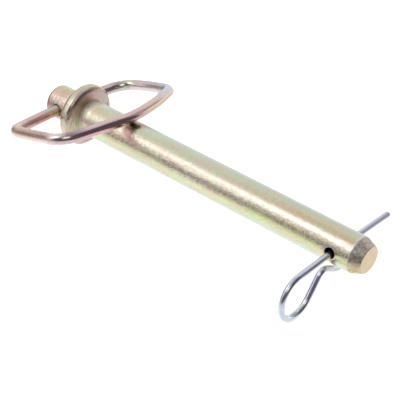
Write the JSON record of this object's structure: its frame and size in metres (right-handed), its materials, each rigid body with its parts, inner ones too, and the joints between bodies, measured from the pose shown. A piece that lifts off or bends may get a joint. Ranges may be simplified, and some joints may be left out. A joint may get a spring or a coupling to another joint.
{
  "type": "hitch pin",
  "caption": "Straight collared hitch pin with a swinging wire pull handle through its head and a spring hairpin clip through its chamfered tip.",
  "frame": {"origin": "centre of the flat end of the head, on the pin's axis", "axes": "+X along the pin from the head to the tip, +Y along the two cross holes (the clip's loop is on the -Y side), +Z the side of the shank the handle lies on"},
  "size_m": [0.206, 0.0917, 0.0427],
  "materials": {
    "yellow_zinc_pin": "yellow-passivated zinc plating on forged and turned steel, gold with green, pink and olive bands, satin",
    "yellow_zinc_handle": "yellow-passivated zinc plating on smooth drawn wire, pink and mauve over gold, glossy",
    "bright_zinc_clip": "bright blue-white zinc plating on drawn spring wire, glossy"
  },
  "bodies": {
    "pin": {"pin_body": "yellow_zinc_pin"},
    "handle": {"swing_handle": "yellow_zinc_handle"},
    "clip": {"retaining_clip": "bright_zinc_clip"}
  },
  "joints": [
    {"name": "handle_swing", "type": "hinge", "parent": "pin", "child": "handle", "pos_m": [0.0085, 0, 0], "axis": [0, -1, 0], "range_deg": [0, 328]},
    {"name": "clip_pull", "type": "slide", "parent": "pin", "child": "clip", "axis": [0, -1, 0], "range_m": [0, 0.055]}
  ]
}
